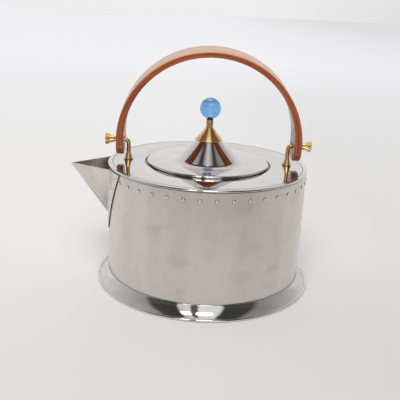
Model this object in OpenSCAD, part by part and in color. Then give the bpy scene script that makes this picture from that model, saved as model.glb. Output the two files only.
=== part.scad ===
// Stovetop kettle: riveted steel body, folded open spout, lift-off lid, bent wood bow handle.
// The origin is on the floor on the body's axis. The spout points to -X, the brackets lie on X.

/* [Body] */
// Outside radius of the body wall
body_r = 90; // [86:0.5:104]
// Height of the flat deck above the floor
deck_z = 110.7; // [100:0.1:140]
// Thickness of the body, deck, skirt and spout sheet
sheet = 0.8; // [0.6:0.1:1]

/* [Base] */
// How far the base flares out past the wall
flare_w = 10.3; // [7:0.1:14]
// Height at which the flare meets the wall
flare_h = 11.3; // [8:0.1:15]
// Distance of the flare's bend out from the wall
flare_bend_w = 3.4; // [2.8:0.1:4.2]
// Height of the flare's bend
flare_bend_h = 5.8; // [5:0.1:6.6]
// Radius of the rolled bead at the foot
foot_bead_r = 1.35; // [1:0.05:1.8]
// Thickness of the flat bottom
bottom_t = 1.4; // [1.2:0.1:2]

/* [Deck] */
// Radius of the lid opening
opening_r = 57.5; // [50:0.5:60]
// Radius of the rolled bead round the deck
deck_bead_r = 1.2; // [0.9:0.05:1.5]
// How far the deck's edge is turned down inside the wall
deck_flange_h = 14; // [12:0.5:18]
// How far the lid's ledge lies below the deck
ledge_drop = 1.6; // [1.2:0.1:3]
// Width of the lid's ledge
ledge_w = 7.1; // [5:0.1:9]
// Depth of the collar that hangs from the ledge
collar_h = 6; // [4:0.5:10]

/* [Lid] */
// Gap between the lid and its opening, all round
lid_gap = 2.1; // [1:0.1:3]
// Height of the lid's flat above the deck
lid_rise = 1.7; // [1.5:0.1:4]
// Radius where the lid's cone would meet its flat
cone_foot_r = 30.6; // [26:0.1:36]
// Radius of the cone's flat top
cone_top_r = 12; // [11:0.1:14]
// Height of the cone's top above the deck
cone_top_h = 21; // [17:0.1:26]
// Fillet radius at the foot of the cone
cone_fillet = 8; // [4:0.5:12]
// Depth of the ring that centres the lid
spigot_h = 12; // [8:0.5:18]

/* [Knob] */
// Radius of the brass cone's base
knob_base_r = 12.3; // [12:0.1:15]
// Height of the brass cone
knob_cone_h = 11.2; // [8:0.1:15]
// Radius of the brass neck
neck_r = 3.2; // [2.8:0.1:4.5]
// Height of the brass neck
neck_h = 7.1; // [4:0.1:10]
// Thickness of the dark washer under the ball
seat_t = 1; // [0.6:0.1:2]
// Radius of the glass ball
ball_r = 9.5; // [8:0.1:12]
// Radius of the stud through the knob
stud_r = 1.5; // [1.2:0.1:2]
// Depth of the stud's hole in the ball
stud_depth = 3.8; // [3:0.1:6]

/* [Spout] */
// How far the spout's tip stands out from the wall
spout_reach = 35.2; // [25:0.1:45]
// Half of the spout's width where it meets the wall
spout_half_w = 28.8; // [22:0.1:34]
// Depth of the tip below the deck
tip_drop = 5.6; // [4.5:0.1:10]
// Depth of the top edge below the deck, at the wall
root_drop = 3.8; // [3.2:0.1:4.4]
// Depth below the deck at which the front fold meets the wall
fold_drop = 54.2; // [45:0.1:65]
// Half of the flange's width at its top
flange_top_half = 49.3; // [42:0.1:50]
// Half of the flange's width at its bottom
flange_foot_half = 19.8; // [14:0.1:22]
// How far the flange runs on below the front fold
flange_tail = 6; // [5:0.1:12]
// Radius of a strainer hole
strainer_r = 2.5; // [1.5:0.1:3]
// Spacing of the strainer holes
strainer_pitch = 8; // [7:0.1:12]

/* [Rivets] */
// Radius of the head of a rivet below the deck
rim_head_r = 1.6; // [1.2:0.05:1.8]
// Radius of the head of a rivet beside the spout
rivet_head_r = 1.25; // [1:0.05:1.6]
// Height of a rivet's domed head
rivet_head_h = 0.8; // [0.5:0.05:1]
// Radius of a rivet's shank
rivet_shank_r = 0.7; // [0.5:0.05:0.8]
// Depth of the rivet row below the deck
rivet_drop = 9.3; // [7:0.1:11]
// Angle of the last rivet, on each side, from the point opposite the spout
rivet_end_angle = 147.3; // [145:0.1:150]
// Number of rivets in the row
rivet_count = 35; // [25:1:45]
// Number of rivets on each side of the spout
spout_rivet_count = 5; // [3:1:6]
// Distance of those rivets in from the flange's edge
rivet_edge = 6.5; // [5:0.1:8]

/* [Brackets] */
// Distance of each bracket in from the wall
bracket_inset = 17.4; // [15:0.1:19]
// Radius of the bracket rod
rod_r = 1.9; // [1.7:0.05:2.2]
// Radius of the rod's bend, on its centre line
bend_r = 3.6; // [3:0.1:5]
// Height of the pegs above the deck
peg_h = 18.2; // [17:0.1:24]
// Radius of a foot cone's base
foot_r = 4.2; // [3.8:0.1:5]
// Height of a foot cone
foot_h = 6.2; // [5:0.1:8]
// Length of rod below the deck
tail_l = 7; // [5:0.1:9]

/* [Handle] */
// Width of the wooden strap
strap_w = 30; // [25:0.5:34]
// Radius of the rounded end of a leg, which is also how far it runs below its peg
strap_end_r = 12.5; // [10:0.5:12.5]
// Thickness of the strap at its sides
strap_side_t = 6.4; // [5:0.1:8]
// Thickness of the strap at its top
strap_top_t = 4.6; // [4:0.05:6]
// Height of the bow's centre above the pegs
bow_rise = 1.6; // [0:0.1:8]
// Lean of the handle from upright, towards -Y, as it stands at rest
handle_lean = 6.8; // [0:0.1:20]

/* [Thumb nuts] */
// Length of a thumb nut
nut_l = 10.4; // [8:0.1:12]
// Radius of a thumb nut's wide end
nut_end_r = 5.3; // [4:0.1:6]
// Radius of a thumb nut's collar, against the wood
nut_collar_r = 2.5; // [2.4:0.05:3]
// Number of flutes round a thumb nut
flute_count = 6; // [5:1:8]

/* [Clearances] */
// Radial clearance of a pin or a shank in its hole
pin_gap = 0.05; // [0.02:0.01:0.08]
// Gap between the handle's faces and what it turns against
side_gap = 0.25; // [0.2:0.05:0.4]
// Gap between the lid's edge and its ledge
lid_seat_gap = 0.15; // [0.1:0.05:0.3]
// Gap round the lid's centring ring
spigot_gap = 0.4; // [0.3:0.05:0.8]

/* [Hidden] */
$fn = 96;

steel = "#c4bfbb";
polished = "#d9d8d8";
brass = "#c99a45";
wood = "#a4643f";
over = 1;                                   // how far a cutting tool runs past what it cuts

// Body and base
wall_in_r = body_r - sheet;
foot_r_out = body_r + flare_w;
foot_bead_c = foot_r_out - foot_bead_r;
flare_meet = 0.65; // the flare's outside meets the bead this far above its centre
bottom_r = foot_bead_c - foot_bead_r - 0.1;

// Deck
bead_c = body_r - deck_bead_r / 2;
bead_z = deck_z - deck_bead_r;
wall_top = deck_z - 2 * deck_bead_r;
deck_flange_r = wall_in_r - pin_gap;
ledge_z = deck_z - ledge_drop;
ledge_in_r = opening_r - ledge_w;

// Lid and knob, upwards
lid_r = opening_r - lid_gap;
lid_top = deck_z + lid_rise;
cone_top = deck_z + cone_top_h;
cone_slope = atan2(cone_top - lid_top, cone_foot_r - cone_top_r);
spigot_r = ledge_in_r - spigot_gap;
neck_z = cone_top + knob_cone_h;
seat_z = neck_z + neck_h;
ball_flat_r = 2 * sheet + 0.4;
ball_flat_z = seat_z + seat_t;
ball_c = ball_flat_z + sqrt(ball_r * ball_r - ball_flat_r * ball_flat_r);
stud_hole_r = stud_r + pin_gap;
stud_nut_h = 2.4;
stud_washer_t = 0.8;
stud_tail = stud_nut_h + stud_washer_t + 1.6;

// Spout: the tip, the slope of its top edges and the V between its two plates
tip_x = -(body_r + spout_reach);
tip_z = deck_z - tip_drop;
root_x = -sqrt(body_r * body_r - spout_half_w * spout_half_w);
fold_angle = atan2(fold_drop - tip_drop, spout_reach);
fold_l = norm([spout_reach, fold_drop - tip_drop]);
edge_rise = atan2(tip_drop - root_drop, root_x - tip_x);
edge_out = (root_x - tip_x) * sin(fold_angle) + (tip_drop - root_drop) * cos(fold_angle);
vee_half = atan2(spout_half_w, edge_out);
vee_l = norm([spout_half_w, edge_out]) + 8;
flange_r = body_r + sheet;
flange_top = wall_top - 0.3;
flange_foot = deck_z - fold_drop - flange_tail;

// Rivets
rivet_z = deck_z - rivet_drop;
rivet_step = 2 * rivet_end_angle / (rivet_count - 1);
shank_hole_r = rivet_shank_r + pin_gap;
spout_rivet_foot = deck_z - fold_drop + 3.5;

// Brackets and handle
bracket_x = body_r - bracket_inset;
rod_hole_r = rod_r + pin_gap;
peg_z = deck_z + peg_h;
strap_in = bracket_x + bend_r + side_gap;
strap_out = strap_in + strap_side_t;
bow_in_rise = bow_rise + strap_out - strap_top_t - strap_in;
nut_x = strap_out + side_gap;
thread_r = rod_r - 0.4;
thread_hole_r = thread_r + pin_gap;
peg_end = nut_x + nut_l - 1.6;
deck_nut_h = 3;
deck_washer_t = 0.8;

// ---- profiles and small repeated shapes ----

// A ring of rectangular section, from radius r1 to r2 and from height z1 to z2
module ring(r1, r2, z1, z2) {
    rotate_extrude() translate([r1, z1]) square([r2 - r1, z2 - z1]);
}

// A rivet on the X axis: a domed head outside r_out, its shank, and a flat head inside r_in
module rivet(r_out, r_in, head_r = rivet_head_r) {
    dome_r = (head_r * head_r + rivet_head_h * rivet_head_h) / (2 * rivet_head_h);
    translate([r_out, 0, 0]) rotate([0, 90, 0]) rotate_extrude() intersection() {
        translate([0, rivet_head_h - dome_r]) circle(r = dome_r);
        square([head_r, rivet_head_h]);
    }
    translate([r_in - 0.02, 0, 0]) rotate([0, 90, 0])
        cylinder(r = rivet_shank_r, h = r_out - r_in + 0.02);
    translate([r_in - 0.42, 0, 0]) rotate([0, 90, 0]) cylinder(r = head_r, h = 0.4);
}

// The hole that a rivet's shank passes through
module shank_hole() {
    translate([body_r - 5, 0, 0]) rotate([0, 90, 0]) cylinder(r = shank_hole_r, h = 10);
}

// Puts its children at each place in the rivet row under the deck
module at_rim_rivets() {
    for (i = [0 : rivet_count - 1])
        rotate([0, 0, -rivet_end_angle + i * rivet_step]) translate([0, 0, rivet_z]) children();
}

// Half of the spout's width on the wall at height z, and the same for its flange
function fold_half(z) = spout_half_w * (z - deck_z + fold_drop) / (fold_drop - root_drop);
function flange_half(z) = flange_foot_half
    + (flange_top_half - flange_foot_half) * (z - flange_foot) / (flange_top - flange_foot);

// Height of a spout rivet: the first is level with the row under the deck
function spout_rivet_z(i) = rivet_z + (spout_rivet_foot - rivet_z) * i / (spout_rivet_count - 1);

// Places what it is given at spout rivet number i on one side
module at_spout_rivet(side, i) {
    z = spout_rivet_z(i);
    angle = asin((flange_half(z) - rivet_edge) / flange_r);
    rotate([0, 0, 180 + side * angle]) translate([0, 0, z]) children();
}

module at_spout_rivets() {
    for (side = [-1, 1], i = [0 : spout_rivet_count - 1])
        at_spout_rivet(side, i) children();
}

// ---- body ----

module base_pan() {
    color(polished) cylinder(r = bottom_r, h = bottom_t);
}

// Flared skirt: a lip round the wall, a steep slope, a flatter one and a rolled bead on the floor
module base_skirt() {
    bend_r = body_r + flare_bend_w;
    meet_r = foot_bead_c - sqrt(foot_bead_r * foot_bead_r - flare_meet * flare_meet);
    color(polished) union() {
        rotate_extrude() polygon([[body_r, flare_h], [body_r + sheet, flare_h], [bend_r, flare_bend_h],
            [meet_r, foot_bead_r + flare_meet], [foot_bead_c - 0.1, foot_bead_r + 0.3],
            [foot_bead_c - 1, foot_bead_r - 0.1], [bend_r - 0.8 * sheet, flare_bend_h - 0.6 * sheet],
            [body_r, flare_h - 1.5 * sheet]]);
        rotate_extrude() translate([foot_bead_c, foot_bead_r]) circle(r = foot_bead_r);
    }
}

// Strainer holes behind the spout, in rows that narrow with it
module strainer_holes() {
    rows = floor((fold_drop - deck_flange_h) / strainer_pitch) - 1;
    for (row = [0 : rows - 1]) {
        z = deck_z - deck_flange_h - strainer_pitch * (row + 0.7);
        side_count = floor((fold_half(z) - strainer_r - 2) / strainer_pitch);
        if (side_count >= 0)
            for (k = [-side_count : side_count])
                rotate([0, 0, 180 + k * strainer_pitch / body_r * 180 / PI])
                    translate([body_r - 5, 0, z])
                        rotate([0, 90, 0])
                            cylinder(r = strainer_r, h = 10);
    }
}

module body_wall() {
    color(steel) difference() {
        ring(wall_in_r, body_r, bottom_t, wall_top);
        at_rim_rivets() shank_hole();
        at_spout_rivets() shank_hole();
        strainer_holes();
    }
}

// Deck: flat plate, ledge and collar for the lid, rolled bead, and the flange inside the wall
module deck() {
    color(polished) difference() {
        rotate_extrude() union() {
            translate([opening_r, deck_z - sheet]) square([bead_c - opening_r, sheet]);
            translate([opening_r, ledge_z - sheet]) square([sheet, ledge_drop + sheet]);
            translate([ledge_in_r, ledge_z - sheet]) square([ledge_w + sheet, sheet]);
            translate([ledge_in_r, ledge_z - collar_h]) square([sheet, collar_h]);
            translate([bead_c, bead_z]) circle(r = deck_bead_r);
            translate([deck_flange_r - sheet, wall_top])
                square([bead_c - deck_flange_r + sheet, deck_z - wall_top]);
            translate([deck_flange_r - sheet, deck_z - deck_flange_h])
                square([sheet, deck_flange_h]);
        }
        at_rim_rivets() shank_hole();
        at_spout_rivets() shank_hole();
        for (side = [-1, 1])
            translate([side * bracket_x, 0, deck_z - sheet - over])
                cylinder(r = rod_hole_r, h = sheet + 2 * over);
    }
}

// The spout's V section, drawn in the plane square to its front fold: X leads up and inwards
module vee(inset, filled) {
    far = vee_l * [cos(vee_half), sin(vee_half)];
    back = sheet * [sin(vee_half), -cos(vee_half)];
    start = inset / sin(vee_half);
    if (filled)
        polygon([[start, 0], [start + far[0], far[1]], [start + far[0], -far[1]]]);
    else
        polygon([[0, 0], far, far + back, [sheet / sin(vee_half), 0],
            [far[0] + back[0], -far[1] - back[1]], [far[0], -far[1]]]);
}

// Extrudes its child along the front fold, from the tip down past the wall
module along_fold() {
    translate([tip_x, 0, tip_z])
        rotate([0, fold_angle - 90, 0])
            translate([0, 0, -fold_l - 12])
                linear_extrude(fold_l + 60)
                    children();
}

// The two folded plates, which end halfway into the flange's thickness
module spout_plates() {
    difference() {
        along_fold() vee(0, false);
        cylinder(r = body_r + sheet / 2, h = 2 * deck_z);
        translate([tip_x, 0, tip_z]) rotate([0, -edge_rise, 0])
            translate([-50, -body_r, 0]) cube([3 * body_r, 2 * body_r, 2 * body_r]);
    }
}

module spout_flange() {
    difference() {
        intersection() {
            ring(body_r, flange_r, flange_foot, flange_top);
            rotate([90, 0, -90]) translate([0, 0, root_x + body_r])
                linear_extrude(2 * body_r)
                    polygon([[-flange_foot_half, flange_foot], [flange_foot_half, flange_foot],
                        [flange_top_half, flange_top], [-flange_top_half, flange_top]]);
        }
        along_fold() vee(sheet / 2, true);
        at_spout_rivets() shank_hole();
    }
}

module spout() {
    color(steel) union() {
        spout_plates();
        spout_flange();
    }
}

module rim_rivets() {
    color(polished) at_rim_rivets() rivet(body_r, deck_flange_r - sheet, rim_head_r);
}

// A rivet that reaches the deck's flange goes through that too
module spout_rivets() {
    color(polished) for (side = [-1, 1], i = [0 : spout_rivet_count - 1]) {
        through_deck = spout_rivet_z(i) + rivet_head_r > deck_z - deck_flange_h;
        at_spout_rivet(side, i) rivet(flange_r, through_deck ? deck_flange_r - sheet : wall_in_r);
    }
}

// ---- brackets ----

// Turned foot cone with a thin straight rim, bored for the rod
module foot(side) {
    rim = 0.6;
    color(brass) translate([side * bracket_x, 0, deck_z]) difference() {
        rotate_extrude() polygon([[0, 0], [foot_r, 0], [foot_r, rim], [rod_r + 0.3, foot_h], [0, foot_h]]);
        translate([0, 0, -over]) cylinder(r = rod_hole_r, h = foot_h + 2 * over);
    }
}

// Bent rod: threaded tail through the deck, a bend, a bearing peg and a thinner threaded end
module bracket(side) {
    stem_foot = deck_z - sheet - deck_washer_t - tail_l;
    bend_x = bracket_x + bend_r;
    color(brass) rotate([0, 0, side > 0 ? 0 : 180]) union() {
        translate([bracket_x, 0, stem_foot]) cylinder(r = rod_r, h = peg_z - bend_r - stem_foot);
        translate([bend_x, 0, peg_z - bend_r]) rotate([90, 0, 180]) rotate_extrude(angle = 90)
            translate([bend_r, 0]) circle(r = rod_r);
        translate([bend_x, 0, peg_z]) rotate([0, 90, 0])
            cylinder(r = rod_r, h = strap_out - bend_x);
        translate([strap_out - over, 0, peg_z]) rotate([0, 90, 0])
            cylinder(r = thread_r, h = peg_end - strap_out + over);
    }
}

module deck_washers() {
    z = deck_z - sheet - deck_washer_t;
    color(steel) for (side = [-1, 1])
        translate([side * bracket_x, 0, 0]) ring(rod_hole_r, 2.3 * rod_r, z, z + deck_washer_t);
}

module deck_nuts() {
    z = deck_z - sheet - deck_washer_t - deck_nut_h;
    color(brass) for (side = [-1, 1]) translate([side * bracket_x, 0, z]) difference() {
        cylinder(r = 2 * rod_r, h = deck_nut_h, $fn = 6);
        translate([0, 0, -over]) cylinder(r = rod_hole_r, h = deck_nut_h + 2 * over);
    }
}

// ---- handle ----

// Side outline of one face of the bow: an arc on two straight legs
module bow_outline(half_span, rise) {
    translate([0, rise]) circle(r = half_span, $fn = 180);
    translate([-half_span, -strap_w]) square([2 * half_span, strap_w + rise]);
}

module handle_bow() {
    color(wood) translate([0, 0, peg_z]) rotate([handle_lean, 0, 0]) difference() {
        intersection() {
            rotate([90, 0, 0]) translate([0, 0, -strap_w / 2]) linear_extrude(strap_w)
                difference() {
                    bow_outline(strap_out, bow_rise);
                    bow_outline(strap_in, bow_in_rise);
                }
            union() {
                translate([-strap_out - over, -strap_w / 2 - over, 0])
                    cube([2 * (strap_out + over), strap_w + 2 * over, 2 * strap_out]);
                hull() for (y = [-1, 1])
                    translate([-strap_out - over, y * (strap_w / 2 - strap_end_r), 0])
                        rotate([0, 90, 0]) cylinder(r = strap_end_r, h = 2 * (strap_out + over));
            }
        }
        for (side = [-1, 1])
            translate([side * (strap_in + strap_out) / 2, 0, 0]) rotate([0, 90, 0])
                cylinder(r = rod_hole_r, h = strap_side_t + 2 * over, center = true);
    }
}

// Fluted cone: a small collar against the wood, a narrow neck, and a wide end with a flat rim
module thumb_nut(side) {
    collar = 1.1;
    neck = nut_collar_r - 0.4;
    rim = 0.8;
    flare = atan2(nut_end_r - neck, nut_l - rim - collar);
    flute_r = 1.7;
    color(brass) translate([side * nut_x, 0, peg_z]) rotate([0, side * 90, 0]) difference() {
        rotate_extrude() polygon([[0, 0], [nut_collar_r, 0], [nut_collar_r, collar - 0.2],
            [neck, collar], [nut_end_r, nut_l - rim], [nut_end_r, nut_l - rim / 2],
            [nut_end_r - 0.6, nut_l], [0, nut_l]]);
        translate([0, 0, -over]) cylinder(r = thread_hole_r, h = nut_l - 1.2 + over);
        for (i = [0 : flute_count - 1])
            rotate([0, 0, (i + 0.5) * 360 / flute_count])
                translate([neck + flute_r - 0.1, 0, collar + 0.6])
                    rotate([0, flare - 5, 0])
                        cylinder(r = flute_r, h = 2 * nut_l);
    }
}

// ---- lid ----

// Region under the lid's outside surface: the flat, the cone and the fillet between them
module lid_region() {
    tangent_l = cone_fillet * tan(cone_slope / 2);
    corner = [cone_foot_r, lid_top];
    centre = corner + [tangent_l, cone_fillet];
    polygon([[0, deck_z - 5], [lid_r, deck_z - 5], [lid_r, lid_top], corner,
        [cone_top_r, cone_top], [0, cone_top]]);
    difference() {
        polygon([corner, corner + [tangent_l, 0], centre,
            corner + tangent_l * [-cos(cone_slope), sin(cone_slope)]]);
        translate(centre) circle(r = cone_fillet);
    }
}

module lid_shell() {
    color(polished) rotate_extrude() difference() {
        union() {
            difference() {
                lid_region();
                translate([0, -sheet]) lid_region();
                translate([lid_r - sheet, 0]) square([2 * sheet, lid_top - sheet]);
            }
            translate([lid_r - sheet, ledge_z + lid_seat_gap])
                square([sheet, lid_top - ledge_z - lid_seat_gap - sheet / 2]);
        }
        square([stud_hole_r, 2 * cone_top]);
        square([body_r, ledge_z + lid_seat_gap]);
    }
}

module lid_spigot() {
    color(steel) ring(spigot_r - sheet, spigot_r, lid_top - sheet - spigot_h, lid_top - sheet);
}

// Brass cone with a thin straight rim at its base
module knob_cone() {
    rim = 0.5;
    color(brass) rotate_extrude() polygon([[stud_hole_r, cone_top], [knob_base_r, cone_top],
        [knob_base_r, cone_top + rim], [neck_r + 0.1, neck_z], [stud_hole_r, neck_z]]);
}

module knob_neck() {
    color(brass) ring(stud_hole_r, neck_r, neck_z, seat_z);
}

module ball_seat() {
    color("#4a4038") rotate_extrude() polygon([[stud_hole_r, seat_z], [neck_r - 0.1, seat_z],
        [neck_r - 0.4, seat_z + seat_t], [stud_hole_r, seat_z + seat_t]]);
}

module glass_ball() {
    color("#5f9ad4") difference() {
        translate([0, 0, ball_c]) sphere(r = ball_r);
        translate([-ball_r, -ball_r, ball_flat_z - 2 * ball_r])
            cube([2 * ball_r, 2 * ball_r, 2 * ball_r]);
        translate([0, 0, ball_flat_z - over])
            cylinder(r = stud_hole_r, h = stud_depth + over);
    }
}

module knob_stud() {
    foot = cone_top - sheet - stud_tail;
    color(brass) translate([0, 0, foot])
        cylinder(r = stud_r, h = ball_flat_z + stud_depth - 0.4 - foot);
}

module knob_washer() {
    z = cone_top - sheet - stud_washer_t;
    color(steel) ring(stud_hole_r, 3.2 * stud_r, z, z + stud_washer_t);
}

module knob_nut() {
    color(steel) translate([0, 0, cone_top - sheet - stud_washer_t - stud_nut_h]) difference() {
        cylinder(r = 2.1 * stud_r, h = stud_nut_h, $fn = 6);
        translate([0, 0, -over]) cylinder(r = stud_hole_r, h = stud_nut_h + 2 * over);
    }
}

base_pan();
base_skirt();
body_wall();
deck();
spout();
rim_rivets();
spout_rivets();
foot(-1);  // foot_left
foot(1);  // foot_right
bracket(-1);  // bracket_left
bracket(1);  // bracket_right
deck_washers();
deck_nuts();
handle_bow();
thumb_nut(-1);  // thumb_nut_left
thumb_nut(1);  // thumb_nut_right
lid_shell();
lid_spigot();
knob_cone();
knob_neck();
ball_seat();
glass_ball();
knob_stud();
knob_washer();
knob_nut();
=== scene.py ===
import math

import bmesh
import bpy
from mathutils import Matrix, Vector


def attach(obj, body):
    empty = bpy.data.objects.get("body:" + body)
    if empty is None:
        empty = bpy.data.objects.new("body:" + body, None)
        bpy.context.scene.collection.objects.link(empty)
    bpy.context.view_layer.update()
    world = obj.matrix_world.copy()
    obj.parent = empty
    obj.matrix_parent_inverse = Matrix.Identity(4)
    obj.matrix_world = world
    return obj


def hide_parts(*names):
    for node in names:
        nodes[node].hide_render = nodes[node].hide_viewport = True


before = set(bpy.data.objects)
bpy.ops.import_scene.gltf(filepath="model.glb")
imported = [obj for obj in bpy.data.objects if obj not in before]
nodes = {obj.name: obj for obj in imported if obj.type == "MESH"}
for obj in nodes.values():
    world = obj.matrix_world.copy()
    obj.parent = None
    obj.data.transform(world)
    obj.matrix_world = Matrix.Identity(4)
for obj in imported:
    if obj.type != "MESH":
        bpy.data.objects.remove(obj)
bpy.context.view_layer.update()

mm = 0.001  # pieces are drawn in mm, and addPiece brings them to metres
print("frame loaded:", len(nodes), "nodes")


def toLinear(hexColour):
    values = [int(hexColour[i:i + 2], 16) / 255 for i in (1, 3, 5)]
    return [v / 12.92 if v <= 0.04045 else ((v + 0.055) / 1.055) ** 2.4 for v in values] + [1.0]


def addNode(tree, kind, sockets=None, stops=None, **settings):
    # sockets: name or number of an input -> a value, or (node, its output)
    node = tree.nodes.new(kind)
    for name, value in settings.items():
        setattr(node, name, value)
    for name, value in (sockets or {}).items():
        if isinstance(value, tuple) and isinstance(value[0], bpy.types.Node):
            tree.links.new(value[0].outputs[value[1]], node.inputs[name])
        else:
            node.inputs[name].default_value = value
    if stops:
        ramp = node.color_ramp
        while len(ramp.elements) < len(stops):
            ramp.elements.new(0.5)
        for element, (place, colour) in zip(ramp.elements, stops):
            element.position = place
            element.color = toLinear(colour) if isinstance(colour, str) else (colour,) * 3 + (1.0,)
    return node


def newMaterial(name):
    material = bpy.data.materials.new(name)
    material.use_nodes = True
    tree = material.node_tree
    tree.nodes.clear()
    output = tree.nodes.new("ShaderNodeOutputMaterial")
    return material, tree, output


# Stainless sheet, grade 304, cold rolled to a satin face: soft wide reflections, warm grey, with
# faint water stains, handling marks, shallow dents from forming, and upright paler bands that are
# painted reflection. The rolled grain is drawn coarser than its real 0.1 mm so that it shows. Sizes
# and depths are in mm here and in the finishes below.
satin = {"clean": "#d5cec8", "stained": "#c7bfb8", "mark": "#958d86", "grime": "#26221f",
         "reflectionBand": "#ded8d3", "rough": (0.25, 0.33), "stainSize": 17, "stains": [(0.50, 0.0), (0.80, 0.8)],
         "markSize": 7, "marks": [(0.70, 0.0), (0.78, 0.5)], "dentSize": 34, "dentDepth": 0.08,
         "grainSpacing": 1.2, "grainRun": 25, "grainDepth": 0.05, "bandSize": 21, "bandRun": 500,
         "bands": [(0.45, 0.0), (0.70, 0.75)]}


def satinSteel():
    material, tree, output = newMaterial("stainlessSteelSatinRolled")
    place = addNode(tree, "ShaderNodeTexCoord")
    stains = addNode(tree, "ShaderNodeTexNoise", {"Vector": (place, "Object"),
                     "Scale": 1000 / satin["stainSize"], "Detail": 2.0, "Roughness": 0.5, "Distortion": 0.6})
    stainAmount = addNode(tree, "ShaderNodeValToRGB", {"Fac": (stains, "Fac")}, satin["stains"])
    marks = addNode(tree, "ShaderNodeTexNoise", {"Vector": (place, "Object"), "Scale": 1000 / satin["markSize"],
                    "Detail": 3.0, "Roughness": 0.6})
    markAmount = addNode(tree, "ShaderNodeValToRGB", {"Fac": (marks, "Fac")}, satin["marks"])
    tinted = addNode(tree, "ShaderNodeMix", {0: (stainAmount, "Color"), 6: toLinear(satin["clean"]),
                     7: toLinear(satin["stained"])}, data_type="RGBA")
    marked = addNode(tree, "ShaderNodeMix", {0: (markAmount, "Color"), 6: (tinted, 2),
                     7: toLinear(satin["mark"])}, data_type="RGBA")
    grime = addNode(tree, "ShaderNodeAttribute", attribute_name="grime")
    rough = addNode(tree, "ShaderNodeMapRange", {"Value": (stains, "Fac"), "From Min": 0.3, "From Max": 0.7,
                    "To Min": satin["rough"][0], "To Max": satin["rough"][1]})
    along = addNode(tree, "ShaderNodeMapping", {"Vector": (place, "Object"),
                    "Scale": (1000 / satin["grainRun"], 1000 / satin["grainRun"],
                              1000 / satin["grainSpacing"])})
    grain = addNode(tree, "ShaderNodeTexNoise", {"Vector": (along, 0), "Scale": 1.0, "Detail": 2.0})
    dents = addNode(tree, "ShaderNodeTexNoise", {"Vector": (place, "Object"), "Scale": 1000 / satin["dentSize"],
                    "Detail": 1.5})
    # four times as deep at a quarter of the strength, which keeps the dents soft
    dented = addNode(tree, "ShaderNodeBump", {"Height": (dents, "Fac"), "Strength": 0.25,
                     "Distance": satin["dentDepth"] * 4 * mm})
    # painted reflection: upright paler bands mixed into the steel's colour
    upright = addNode(tree, "ShaderNodeMapping", {"Vector": (place, "Object"),
                      "Scale": (1000 / satin["bandSize"], 1000 / satin["bandSize"], 1000 / satin["bandRun"])})
    bands = addNode(tree, "ShaderNodeTexNoise", {"Vector": (upright, 0), "Scale": 1.0, "Detail": 2.0})
    reflectionBandAmount = addNode(tree, "ShaderNodeValToRGB", {"Fac": (bands, "Fac")}, satin["bands"])
    withReflectionBands = addNode(tree, "ShaderNodeMix", {0: (reflectionBandAmount, "Color"), 6: (marked, 2),
                     7: toLinear(satin["reflectionBand"])}, data_type="RGBA")
    # painted shade, dark where a face is marked for it
    final = addNode(tree, "ShaderNodeMix", {0: (grime, "Fac"), 6: (withReflectionBands, 2),
                    7: toLinear(satin["grime"])}, data_type="RGBA")
    surface = addNode(tree, "ShaderNodeBump", {"Height": (grain, "Fac"), "Strength": 0.03,
                      "Distance": satin["grainDepth"] * mm, "Normal": (dented, "Normal")})
    shader = addNode(tree, "ShaderNodeBsdfPrincipled", {"Base Color": (final, 2), "Metallic": 1.0,
                     "Roughness": (rough, 0), "Normal": (surface, "Normal")})
    tree.links.new(shader.outputs[0], output.inputs["Surface"])
    return material


# The same steel, buffed to a mirror: sharp reflections that waver a little, with faint wiping smears
mirror = {"clean": "#dedbd9", "worn": "#d2cecb", "grime": "#2e2b29", "rough": (0.04, 0.09), "smearSize": 22,
          "waveSize": 26, "waveDepth": 0.05}


def mirrorSteel():
    material, tree, output = newMaterial("stainlessSteelBuffed")
    place = addNode(tree, "ShaderNodeTexCoord")
    smears = addNode(tree, "ShaderNodeTexNoise", {"Vector": (place, "Object"),
                     "Scale": 1000 / mirror["smearSize"], "Detail": 4.0, "Roughness": 0.6, "Distortion": 0.8})
    rough = addNode(tree, "ShaderNodeMapRange", {"Value": (smears, "Fac"), "From Min": 0.4, "From Max": 0.7,
                    "To Min": mirror["rough"][0], "To Max": mirror["rough"][1]})
    smeared = addNode(tree, "ShaderNodeValToRGB", {"Fac": (smears, "Fac")},
                      [(0.45, mirror["clean"]), (0.75, mirror["worn"])])
    grime = addNode(tree, "ShaderNodeAttribute", attribute_name="grime")
    # painted shade, dark where a face is marked for it
    colour = addNode(tree, "ShaderNodeMix", {0: (grime, "Fac"), 6: (smeared, "Color"),
                     7: toLinear(mirror["grime"])}, data_type="RGBA")
    waves = addNode(tree, "ShaderNodeTexNoise", {"Vector": (place, "Object"),
                    "Scale": 1000 / mirror["waveSize"], "Detail": 1.0})
    surface = addNode(tree, "ShaderNodeBump", {"Height": (waves, "Fac"), "Strength": 0.25,
                      "Distance": mirror["waveDepth"] * 4 * mm})
    shader = addNode(tree, "ShaderNodeBsdfPrincipled", {"Base Color": (colour, 2), "Metallic": 1.0,
                     "Roughness": (rough, 0), "Normal": (surface, "Normal")})
    tree.links.new(shader.outputs[0], output.inputs["Surface"])
    return material


# Rivet heads of the same steel: a bright dome with painted shade round its foot
rivet = {"dome": "#efecea", "foot": "#2c2825", "footR": 90.12, "domeR": 90.5, "rough": (0.5, 0.07)}


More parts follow.
